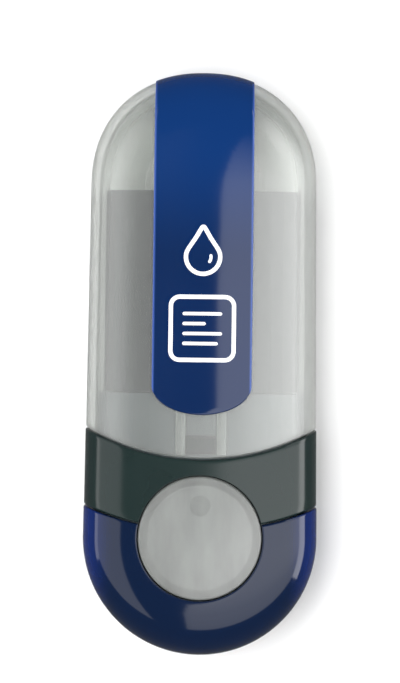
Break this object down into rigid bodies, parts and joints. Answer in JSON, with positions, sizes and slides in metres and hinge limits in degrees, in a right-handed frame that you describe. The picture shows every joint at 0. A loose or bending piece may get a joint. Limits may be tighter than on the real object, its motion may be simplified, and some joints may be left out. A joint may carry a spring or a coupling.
{
  "type": "self inking stamp",
  "caption": "Flat pocket self-inking stamp with a push-on milky cap, a flip-over die, an ink pad cartridge and a round release button.",
  "frame": {"origin": "under the middle of the object, on the surface that it lies on with its back down", "axes": "+Y along the object towards the tip of the cap, +Z out of the front that carries the strip and the button"},
  "size_m": [0.0344, 0.0856, 0.0221],
  "materials": {
    "milky_cap": "milky translucent moulded polypropylene",
    "milky_inner": "milky moulded plastic",
    "milky_button": "milky translucent, satin",
    "blue_gloss": "polished translucent blue",
    "navy_gloss": "polished translucent dark blue",
    "graphite_plastic": "semi-gloss graphite with a green tinge",
    "grey_plastic": "satin grey",
    "black_plastic": "satin black acetal",
    "inked_felt": "wet ink",
    "white_foam": "closed-cell foam",
    "die_rubber": "laser-engraved rubber",
    "spring_steel": "bright drawn wire"
  },
  "bodies": {
    "frame": {"base_frame": "grey_plastic", "neck_sleeve": "milky_inner", "collar": "graphite_plastic", "ink_pad_tray": "black_plastic", "ink_pad": "inked_felt"},
    "cap": {"cap_shell": "milky_cap", "cap_strip": "blue_gloss"},
    "handle": {"handle_shell": "navy_gloss", "slider_tube": "black_plastic", "carrier_yoke": "black_plastic", "die_axle": "spring_steel", "latch_pin": "spring_steel", "latch_spring": "spring_steel", "main_spring_left": "spring_steel", "main_spring_right": "spring_steel"},
    "die": {"die_carrier": "grey_plastic", "cam_pin_left": "spring_steel", "cam_pin_right": "spring_steel", "die_cushion": "white_foam", "text_plate": "die_rubber"},
    "button": {"push_button": "milky_button"},
    "latch": {"latch_lever": "graphite_plastic"}
  },
  "joints": [
    {"name": "cap_pull", "type": "slide", "parent": "frame", "child": "cap", "axis": [0, 1, 0], "range_m": [0, 0.045]},
    {"name": "handle_extend", "type": "slide", "parent": "frame", "child": "handle", "axis": [0, -1, 0], "range_m": [0, 0.0165], "deforming": ["main_spring_left", "main_spring_right"]},
    {"name": "die_flip", "type": "hinge", "parent": "handle", "child": "die", "pos_m": [0, 0.0208, 0.011], "axis": [1, 0, 0], "range_deg": [0, 180]},
    {"name": "button_press", "type": "slide", "parent": "handle", "child": "button", "axis": [0, 0, -1], "range_m": [0, 0.0013], "stiffness_N_per_m": 1000},
    {"name": "latch_tilt", "type": "hinge", "parent": "handle", "child": "latch", "pos_m": [0, -0.0306, 0.0158], "axis": [-1, 0, 0], "range_deg": [0, 8.5], "deforming": ["latch_spring"]}
  ],
  "couplings": [
    {"joint": "die_flip", "follows": "handle_extend", "rad_per_m": 190.4},
    {"joint": "latch_tilt", "follows": "button_press", "rad_per_m": 114.12}
  ]
}
